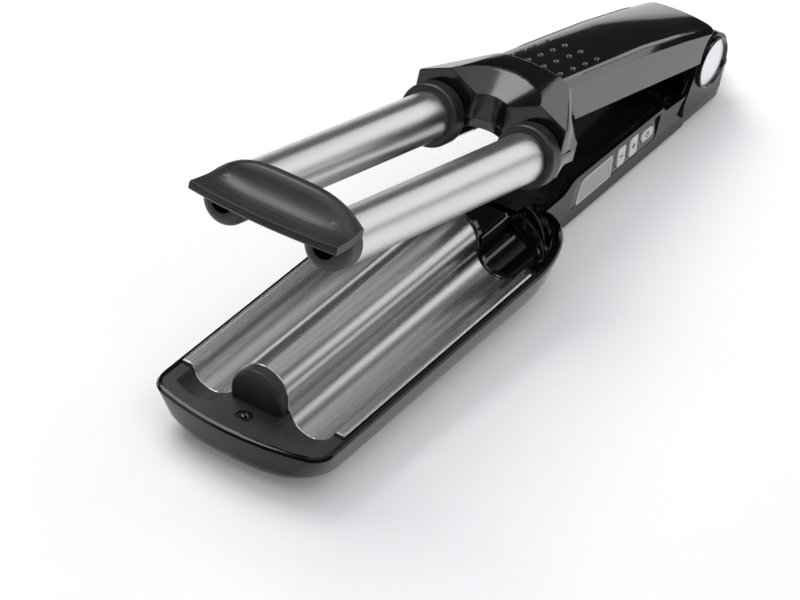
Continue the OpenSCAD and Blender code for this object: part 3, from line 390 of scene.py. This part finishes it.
def bead(bm, path, radius, loop=False, flat=1.0, up_hint=UP):
    """A round or flattened bead along points, its section square to the path."""
    half_w, half_h = radius * MM, radius * MM * flat
    last = len(path) - 1
    rings = []
    for i, point in enumerate(path):
        before = path[i - 1] if i > 0 or loop else point
        after = path[(i + 1) % len(path)] if i < last or loop else point
        along = (after - before).normalized()
        side = along.cross(up_hint).normalized()
        up = side.cross(along).normalized()
        rings.append([bm.verts.new(point + side * half_w * math.cos(t) + up * half_h * math.sin(t))
                      for t in angles(BEAD_SIDES)])
    join(bm, rings, loop)


def add_bead(name, path, radius, body, slot, material=None, **form):
    """A piece that is one bead, where its path has enough points."""
    if len(path) >= FEWEST_POINTS:
        bm = bmesh.new()
        bead(bm, path, radius, **form)
        add_detail(name, bm, body, slot, material)


def smooth_path(points):
    """A Catmull-Rom line through the points."""
    pts = [points[0], *points, points[-1]]
    out = []
    for a, b, c, d in zip(pts, pts[1:], pts[2:], pts[3:]):
        for k in range(SPLINE_STEPS):
            t = k / SPLINE_STEPS
            out.append(0.5 * (2 * b + (c - a) * t + (2 * a - 5 * b + 4 * c - d) * t * t
                              + (3 * b - a - 3 * c + d) * t ** 3))
    return out + [points[-1]]


def slab(bm, corners, y0, y1):
    """A flat plate in XZ between two Y values."""
    join(bm, [[bm.verts.new(Vector((x, y, z)) * MM) for x, z in corners] for y in (y0, y1)])


# ------------------------------------------------------- upper arm's details
ABOVE_JAW = 60  # where rays down to the upper arm start
GRIP_X = ((125.2, 124.7, 124.7, 123.9), (116.0, 115.2, 115.0, 113.9),
          (106.4, 105.7, 104.9, 104.4), (96.5, 96.1, 95.8, 94.9))  # each mark, row by row
GRIP_Y = (-10.2, -3.2, 3.65, 10.5)  # each column
DROP_LONG, DROP_WIDE, DROP_TAIL, DROP_TOP, DROP_SIDES = 1.25, 1.0, 0.75, 0.48, 20
DROP_LEVELS = ((1.0, -0.25), (1.0, 0.02), (0.86, 0.22), (0.62, 0.38), (0.32, 0.46))  # share of size, height
GRIP_BEAD_Y, GRIP_BEAD_FROM, GRIP_BEAD_TO, GRIP_BEAD_R = 14.3, 12, 119, 0.32
GRIP_BEAD_POINTS, GRIP_BEAD_SINK, GRIP_BEAD_FADE = 60, 0.5, 6  # the fade is in points, at each end
LINE_ROWS, LINE_LOWEST, LINE_PITCH, LINE_HALF_WIDTH, LINE_R = 5, 27.6, 0.9, 26, 0.12
LINE_POINTS, BEFORE_TIP, LINE_REACH = 41, 330, 60
WEB_X, WEB_Z, WEB_HALF_WIDTH = (124.4, 127.4), (26.4, 31.0), 12


def grip_drop(bm, spot, normal):
    """A raised drop that is round towards the tip and drawn out towards the hinge."""
    side = normal.cross(JAW_FORWARD).normalized()
    front = side.cross(normal).normalized()
    rings = []
    for share, height in DROP_LEVELS:
        ring = []
        for t in angles(DROP_SIDES):
            tail = 1.0 + DROP_TAIL * max(0.0, -math.cos(t)) ** 3
            out = front * DROP_LONG * math.cos(t) * tail + side * DROP_WIDE * math.sin(t)
            ring.append(bm.verts.new(spot + out * share * MM + normal * height * MM))
        rings.append(ring)
    for a, b in zip(rings, rings[1:]):
        band(bm, a, b)
    bm.faces.new(rings[0][::-1])
    top = rings[-1]
    tip = bm.verts.new(spot + normal * DROP_TOP * MM)
    for a, b in zip(top, top[1:] + top[:1]):
        bm.faces.new((a, b, tip))


def grip_dimples():
    """Sixteen drop-shaped raised grip marks on the upper handle's crown."""
    starts = [jaw_place(x, y, ABOVE_JAW) for row in GRIP_X for x, y in zip(row, GRIP_Y)]
    bm = bmesh.new()
    for spot, normal in trace(surface_of("upper_shell"), starts, -JAW_UP):
        grip_drop(bm, spot, normal)
    add_detail("grip_dimples", bm, "upper_arm", "black_gloss")


def grip_beads():
    """A slim moulded bead along each top edge of the upper handle, sunk in at its ends."""
    crown = surface_of("upper_shell")
    for word, sign in SIDES:
        starts = [jaw_place(x, sign * GRIP_BEAD_Y, ABOVE_JAW)
                  for x in spaced(GRIP_BEAD_FROM, GRIP_BEAD_TO, GRIP_BEAD_POINTS)]
        hits = trace(crown, starts, -JAW_UP)
        last = len(hits) - 1
        path = []
        for k, (spot, normal) in enumerate(hits):
            sink = GRIP_BEAD_SINK * MM * max(0.0, 1 - min(k, last - k) / GRIP_BEAD_FADE)
            path.append(spot - normal * sink)
        add_bead("grip_bead_" + word, path, GRIP_BEAD_R, "upper_arm", "black_gloss", flat=0.7, up_hint=JAW_UP)


def bridge_lines():
    """Fine raised lines along the tip bridge's front lip."""
    lip = surface_of("tip_bridge")
    bm = bmesh.new()
    for row in range(LINE_ROWS):
        z = LINE_LOWEST + LINE_PITCH * row
        starts = [jaw_place(BEFORE_TIP, y, z) for y in spaced(-LINE_HALF_WIDTH, LINE_HALF_WIDTH, LINE_POINTS)]
        path = [spot for spot, _ in trace(lip, starts, -JAW_FORWARD, LINE_REACH)]
        if len(path) >= FEWEST_POINTS:
            bead(bm, path, LINE_R, up_hint=JAW_UP)
    add_detail("bridge_lines", bm, "upper_arm", "charcoal")


def yoke_web():
    """Closes the slit between the upper handle's underside and the yoke."""
    (x0, x1), (z0, z1) = WEB_X, WEB_Z
    corners = [jaw_place(x, 0, z) for x, z in ((x0, z0), (x1, z0), (x1, z1), (x0, z1))]
    bm = bmesh.new()
    slab(bm, [(p.x / MM, p.z / MM) for p in corners], -WEB_HALF_WIDTH, WEB_HALF_WIDTH)
    add_detail("yoke_web", bm, "upper_arm", "black_satin")


# ---------------------------------------------------- plate, tip and pocket
ABOVE = 100  # where rays down to the plate start
LIP_Y, LIP_FROM, LIP_TO, LIP_POINTS, LIP_R = 33.9, 163.9, 287.1, 25, 0.8
END_HALF_WIDTH, END_POINTS = 34.2, 121
PLATE_ENDS = (("front", 287.2, 0.3, "titanium", "polished"), ("rear", 163.7, 0.75, "black_gloss", None))
CROSS_ARM, CROSS_HALF, CROSS_DEEP, CROSS_OVER, CROSS_TAPER = 1.7, 0.42, 1.3, 0.5, 0.6
RIB_R = 0.5
RIB_UP = Vector((1, 0, 0.3)).normalized()
POCKET_RIBS = {
    "pocket_rib_inner": ((129.7, 8.7, 17.5), (127.4, 10.4, 15.1), (128.2, 14.2, 13.6),
                         (130.0, 17.9, 12.5), (132.0, 20.5, 11.9), (134.9, 23.1, 11.3)),
    "pocket_rib_outer": ((125.9, 9.3, 19.7), (126.4, 12.5, 18.9), (127.8, 16.4, 16.9),
                         (130.4, 19.9, 14.8), (134.2, 23.1, 12.6), (142.4, 27.3, 11.6)),
}
POCKET_WALLS = {  # the line in XY, then top, foot and thickness
    "pocket_divider": (((133.0, 5.3), (152.0, 5.0)), 19.0, 9.5, 1.7),
    "pocket_ledge": (((133.3, 6.3), (128.5, 6.5), (129.4, 10.4), (125.8, 8.9)), 17.9, 14.5, 0.7),
    "pocket_latch": (((140.3, -6.6), (145.4, -1.7)), 19.0, 9.5, 1.1),
}
WALL_ANGLE = 20
WALL_LAND, WALL_NOSE = 0.2, 0.1  # flat on a wall's top, and a small second chamfer
CHAMFER_DROP, NOSE_DROP = 0.7, 0.8  # their depths as shares of the wall's thickness


def plate_lips():
    """The wave plate's polished folded lips."""
    plate = surface_of("wave_plate")
    for word, sign in SIDES:
        starts = [Vector((x, sign * LIP_Y, ABOVE)) * MM for x in spaced(LIP_FROM, LIP_TO, LIP_POINTS)]
        path = [spot for spot, _ in trace(plate, starts, -UP)]
        add_bead("plate_lip_" + word, path, LIP_R, "lower_arm", "titanium", "polished", flat=0.8)


def plate_ends():
    """The wave-shaped edge at each end of the plate: bright metal in front, a black rim at the pocket."""
    plate = surface_of("wave_plate")
    for word, x, radius, slot, material in PLATE_ENDS:
        starts = [Vector((x, y, ABOVE)) * MM for y in spaced(-END_HALF_WIDTH, END_HALF_WIDTH, END_POINTS)]
        path = [spot for spot, _ in trace(plate, starts, -UP)]
        add_bead("plate_end_" + word, path, radius, "lower_arm", slot, material, up_hint=Vector((1, 0, 0)))


def cut_cross():
    """Cuts a cross recess into the tip screw's head."""
    lo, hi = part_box("tip_screw")
    head = Vector(((lo[0] + hi[0]) / 2, 0, hi[2]))
    a, h = CROSS_ARM, CROSS_HALF
    outline = ((a, h), (h, h), (h, a), (-h, a), (-h, h), (-a, h),
               (-a, -h), (-h, -h), (-h, -a), (h, -a), (h, -h), (a, -h))
    bm = bmesh.new()
    join(bm, [[bm.verts.new(head + Vector((x * share, y * share, z)) * MM) for x, y in outline]
              for share, z in ((CROSS_TAPER, -CROSS_DEEP), (1.0, CROSS_OVER))])
    cutter = new_object("cutter", outward_mesh("cutter", bm))
    skin = bpy.data.objects["tip_screw_skin"]
    cut = skin.modifiers.new("cross", "BOOLEAN")
    cut.operation, cut.object, cut.solver = "DIFFERENCE", cutter, "EXACT"
    skin.modifiers.move(len(skin.modifiers) - 1, 0)
    bpy.context.view_layer.update()
    done = bpy.data.meshes.new_from_object(skin.evaluated_get(bpy.context.evaluated_depsgraph_get()))
    skin.modifiers.clear()
    skin.data = done
    bpy.data.objects.remove(cutter)


def pocket_wall(bm, line, top, foot, thick):
    """An upright wall along a line, chamfered on one side of its top."""
    half = thick / 2
    section = ((-half, foot), (-half, top), (-half + WALL_LAND, top),
               (half - WALL_NOSE, top - thick * CHAMFER_DROP), (half, top - thick * NOSE_DROP), (half, foot))
    rows = []
    for i, (x, y) in enumerate(line):
        run = (Vector(line[min(i + 1, len(line) - 1)]) - Vector(line[max(i - 1, 0)])).normalized()
        rows.append([bm.verts.new(Vector((x - run.y * out, y + run.x * out, z)) * MM) for out, z in section])
    join(bm, rows)


def pocket_details():
    """Arc ribs, a divider, a toothed ledge and a latch tab inside the pocket, in the bezel's lighter grey
    instead of the tray's black: a painted highlight along their edges.
    """
    for name, points in POCKET_RIBS.items():
        path = smooth_path([Vector(p) * MM for p in points])
        add_bead(name, path, RIB_R, "lower_arm", "black_gloss", "bezel_grey", up_hint=RIB_UP)
    for name, form in POCKET_WALLS.items():
        bm = bmesh.new()
        pocket_wall(bm, *form)
        add_detail(name, bm, "lower_arm", "black_gloss", "bezel_grey", WALL_ANGLE)


# ------------------------------------------------- handle, hinge and controls
ABOVE_WALL, WALL_REACH = 24, 12  # where rays down to the handle's walls start, and how far they go
WALL_BEAD_Y, WALL_BEAD_FROM, WALL_BEAD_TO, WALL_BEAD_POINTS, WALL_BEAD_R = 14.7, 14, 116, 60, 0.3
RIM_PROFILE = ((10.15, 17.2), (10.15, 18.25), (10.35, 18.5), (10.7, 18.5), (10.95, 18.2), (10.95, 17.2))
RIM_SIDES, RIM_ANGLE = 72, 30
MARK_SINK, MARK_RISE = 0.05, 0.08
BAR_HALF_LENGTH, BAR_HALF_WIDTH = 1.3, 0.28
PLUS_OFFSET, PLUS_HALF_HEIGHT = 0.79, 0.51  # the plus's upright, above and below its bar
POWER_RAISE, POWER_HALF_WIDTH, POWER_HALF_HEIGHT = 0.75, 0.2, 0.7
ARC_INNER, ARC_OUTER, ARC_FROM, ARC_TO, ARC_POINTS = 1.0, 1.35, 125, 415, 19
FRAME_R, FRAME_STEPS, FRONT_SLACK = 0.3, 8, 0.05


def wall_beads():
    """A slim bead along the top of the lower handle's side walls, in the bezel's lighter grey instead of the
    shell's black: a painted highlight line.
    """
    shell = surface_of("lower_shell")
    for word, sign in SIDES:
        starts = [Vector((x, sign * WALL_BEAD_Y, ABOVE_WALL)) * MM
                  for x in spaced(WALL_BEAD_FROM, WALL_BEAD_TO, WALL_BEAD_POINTS)]
        path = [spot for spot, _ in trace(shell, starts, -UP, WALL_REACH)]
        add_bead("wall_bead_" + word, path, WALL_BEAD_R, "lower_arm", "black_gloss", "bezel_grey")


def hinge_rims():
    """A dark rim round each silver hinge disc: a profile of radius and Y, turned about the hinge's axis."""
    for word, sign in SIDES:
        bm = bmesh.new()
        join(bm, [[bm.verts.new(Vector((r * math.cos(t), sign * y, HINGE_Z + r * math.sin(t))) * MM)
                   for t in angles(RIM_SIDES)] for r, y in RIM_PROFILE], loop=True)
        add_detail("hinge_rim_" + word, bm, BODY["hinge_cap_" + word], "black_satin", angle=RIM_ANGLE)


def key_face(name):
    """The middle of a key in X and Z, and the Y of its face."""
    lo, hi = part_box(name)
    return (lo[0] + hi[0]) / 2 / MM, (lo[2] + hi[2]) / 2 / MM, hi[1] / MM


def raised(bm, corners, face):
    slab(bm, corners, face - MARK_SINK, face + MARK_RISE)


def bar(bm, x, z, half_x, half_z, face):
    raised(bm, ((x - half_x, z - half_z), (x + half_x, z - half_z),
                (x + half_x, z + half_z), (x - half_x, z + half_z)), face)


def key_marks():
    """A minus, a plus and a power mark, raised a little on the keys."""
    for name, body in (("button_minus", "minus_key"), ("button_plus", "plus_key")):
        x, z, face = key_face(name)
        bm = bmesh.new()
        bar(bm, x, z, BAR_HALF_LENGTH, BAR_HALF_WIDTH, face)
        if name == "button_plus":
            for offset in (PLUS_OFFSET, -PLUS_OFFSET):
                bar(bm, x, z + offset, BAR_HALF_WIDTH, PLUS_HALF_HEIGHT, face)
        add_detail(name + "_mark", bm, body, "charcoal")
    x, z, face = key_face("button_power")
    bm = bmesh.new()
    bar(bm, x, z + POWER_RAISE, POWER_HALF_WIDTH, POWER_HALF_HEIGHT, face)
    turn = [math.radians(a) for a in spaced(ARC_FROM, ARC_TO, ARC_POINTS)]
    for a, b in zip(turn, turn[1:]):
        corners = ((ARC_INNER, a), (ARC_OUTER, a), (ARC_OUTER, b), (ARC_INNER, b))
        raised(bm, [(x + r * math.cos(t), z + r * math.sin(t)) for r, t in corners], face)
    add_detail("button_power_mark", bm, "power_key", "charcoal")


def window_lip_highlight():
    """A slim silver bead round the display window: a painted highlight where the recess's dark lip catches
    the light.
    """
    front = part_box("display_window")[1][1]
    flat = {(round(v.co.x, 6), round(v.co.z, 6)) for v in nodes["display_window"].data.vertices
            if v.co.y > front - FRONT_SLACK * MM}
    cx = sum(x for x, _ in flat) / len(flat)
    cz = sum(z for _, z in flat) / len(flat)
    ring = sorted(flat, key=lambda p: math.atan2(p[1] - cz, p[0] - cx))
    path = []
    for (x0, z0), (x1, z1) in zip(ring, ring[1:] + ring[:1]):
        for k in range(FRAME_STEPS):
            path.append(Vector((x0 + (x1 - x0) * k / FRAME_STEPS, front, z0 + (z1 - z0) * k / FRAME_STEPS)))
    add_bead("window_lip_highlight", path, FRAME_R, "lower_arm", "silver_cap", loop=True, up_hint=Vector((0, 1, 0)))


# --------------------------------------------------------- floor and light
FLOOR_HALF, FLOOR_DROP = 6, 0.0003
FLOOR_LIFT = 0.16  # the floor's own light where a camera or a reflection sees it
AIM = Vector((0.19, 0, 0.03))
SOFTBOXES = (  # azimuth and elevation in degrees, distance, size, power
    ("back_box", 161, 19, 1.7, (1.85, 0.62), 4.5),
    ("top_box", 255, 58, 1.5, (0.9, 0.9), 12),
    ("front_box", 60, 45, 2.0, (0.9, 0.9), 5),
)
CEILING = {"From Min": 0.6, "From Max": 0.95, "To Min": 0.03, "To Max": 1.4}  # height to strength


def floor_material():
    """Pale paper, lifted a little where the camera or a reflection sees it, with the shadow kept."""
    mat, tree, shader = new_material("pale_floor")
    shader.inputs["Roughness"].default_value = 0.6
    shader.inputs["Base Color"].default_value = (0.825, 0.81, 0.815, 1)
    shader.inputs["Specular IOR Level"].default_value = 0.2
    shader.inputs["Emission Color"].default_value = (0.97, 0.98, 1.0, 1)
    path = tree.nodes.new("ShaderNodeLightPath")
    seen = path.outputs["Is Camera Ray"]
    for ray in ("Is Glossy Ray", "Is Transmission Ray"):
        either = tree.nodes.new("ShaderNodeMath")
        either.operation = "MAXIMUM"
        tree.links.new(seen, either.inputs[0])
        tree.links.new(path.outputs[ray], either.inputs[1])
        seen = either.outputs[0]
    lift = tree.nodes.new("ShaderNodeMath")
    lift.operation = "MULTIPLY"
    lift.inputs[1].default_value = FLOOR_LIFT
    tree.links.new(seen, lift.inputs[0])
    tree.links.new(lift.outputs[0], shader.inputs["Emission Strength"])
    return mat


def make_floor():
    mesh = bpy.data.meshes.new("floor")
    s = FLOOR_HALF
    mesh.from_pydata([(-s, -s, 0), (s, -s, 0), (s, s, 0), (-s, s, 0)], [], [(0, 1, 2, 3)])
    mesh.materials.append(floor_material())
    obj = new_object("floor", mesh)
    obj.location.z = -FLOOR_DROP


def make_world():
    """A dim studio room with a brighter ceiling."""
    world = bpy.data.worlds.new("studio")
    bpy.context.scene.world = world
    world.use_nodes = True
    tree = world.node_tree
    back = tree.nodes["Background"]
    coord = tree.nodes.new("ShaderNodeTexCoord")
    split = tree.nodes.new("ShaderNodeSeparateXYZ")
    rise = tree.nodes.new("ShaderNodeMapRange")
    rise.interpolation_type = "SMOOTHSTEP"
    for key, value in CEILING.items():
        rise.inputs[key].default_value = value
    link(tree, coord, "Generated", split, "Vector")
    link(tree, split, "Z", rise, "Value")
    link(tree, rise, "Result", back, "Strength")
    back.inputs["Color"].default_value = (0.93, 0.96, 1.0, 1)


def softbox(name, azimuth, elevation, distance, size, power):
    data = bpy.data.lights.new(name, "AREA")
    data.shape = "RECTANGLE"
    data.size, data.size_y = size
    data.energy = power
    place = AIM + towards(math.radians(azimuth), math.radians(elevation)) * distance
    turn = (AIM - place).to_track_quat("-Z", "Y")
    new_object(name, data).matrix_world = Matrix.Translation(place) @ turn.to_matrix().to_4x4()


# ------------------------------------------------------------ build it all
make_camera()
dress_nodes()
for skin_name in SKINS:
    make_skin(skin_name)
make_spring()
grip_dimples()
grip_beads()
plate_lips()
plate_ends()
bridge_lines()
cut_cross()
pocket_details()
wall_beads()
hinge_rims()
yoke_web()
key_marks()
window_lip_highlight()
make_floor()
make_world()
for softbox_form in SOFTBOXES:
    softbox(*softbox_form)
bpy.context.scene.view_settings.view_transform = "Standard"
